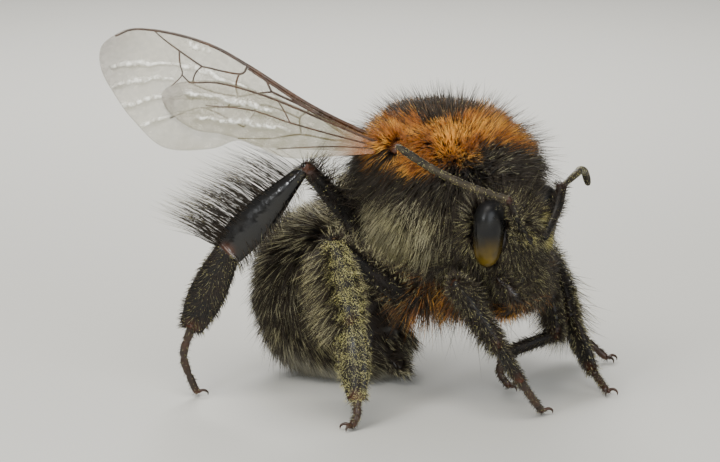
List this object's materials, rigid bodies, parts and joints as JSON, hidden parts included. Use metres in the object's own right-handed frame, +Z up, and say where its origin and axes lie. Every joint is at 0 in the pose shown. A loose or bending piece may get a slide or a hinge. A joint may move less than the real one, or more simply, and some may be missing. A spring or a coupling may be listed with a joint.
{
  "type": "bumblebee model",
  "caption": "Life-size still model of a standing furry bumblebee with ginger thorax, curled dark abdomen and raised right wing",
  "frame": {"origin": "on the ground under the middle of the model's bounding box", "axes": "+X towards the bee's head, +Y to the bee's left, +Z up"},
  "size_m": [0.0136, 0.0158, 0.0124],
  "materials": {
    "thorax_coat": "dense upright fur, ginger above and blackish brown with pale tips on the sides",
    "head_coat": "short dark fur with yellowish hairs between the antennae, dusted with pollen",
    "abdomen_coat": "longer black fur with some grey-brown tips over glossy black plates",
    "tail_coat": "cream white tail fur",
    "leg_shell": "glossy black chitin with bristles and pollen dust",
    "jaw_shell": "glossy black-brown chitin",
    "brown_shell": "satin dark brown chitin",
    "eye": "glossy black faceted eye, olive amber at its lower end",
    "antenna": "velvety brown-black ringed feeler",
    "mouthparts": "satin reddish brown chitin",
    "wing": "clear, slightly smoky membrane with brown veins"
  },
  "bodies": {
    "root": {"abdomen_segment_1": "abdomen_coat", "abdomen_segment_2": "abdomen_coat", "abdomen_segment_3": "abdomen_coat", "abdomen_segment_4": "abdomen_coat", "abdomen_segment_5": "abdomen_coat", "abdomen_segment_6": "tail_coat", "eye_left": "eye", "eye_right": "eye", "flagellum_left": "antenna", "flagellum_right": "antenna", "forewing_left": "wing", "forewing_right": "wing", "head": "head_coat", "hindwing_left": "wing", "hindwing_right": "wing", "leg_fore_left_basitarsus": "leg_shell", "leg_fore_left_femur": "leg_shell", "leg_fore_left_tarsus": "brown_shell", "leg_fore_left_tibia": "leg_shell", "leg_fore_right_basitarsus": "leg_shell", "leg_fore_right_femur": "leg_shell", "leg_fore_right_tarsus": "brown_shell", "leg_fore_right_tibia": "leg_shell", "leg_hind_left_basitarsus": "leg_shell", "leg_hind_left_femur": "leg_shell", "leg_hind_left_tarsus": "brown_shell", "leg_hind_left_tibia": "leg_shell", "leg_hind_right_basitarsus": "leg_shell", "leg_hind_right_femur": "leg_shell", "leg_hind_right_tarsus": "brown_shell", "leg_hind_right_tibia": "leg_shell", "leg_mid_left_basitarsus": "leg_shell", "leg_mid_left_femur": "leg_shell", "leg_mid_left_tarsus": "brown_shell", "leg_mid_left_tibia": "leg_shell", "leg_mid_right_basitarsus": "leg_shell", "leg_mid_right_femur": "leg_shell", "leg_mid_right_tarsus": "brown_shell", "leg_mid_right_tibia": "leg_shell", "mandible_left": "jaw_shell", "mandible_right": "jaw_shell", "proboscis": "mouthparts", "scape_left": "leg_shell", "scape_right": "leg_shell", "tegula_left": "brown_shell", "tegula_right": "brown_shell", "thorax": "thorax_coat"}
  },
  "joints": []
}
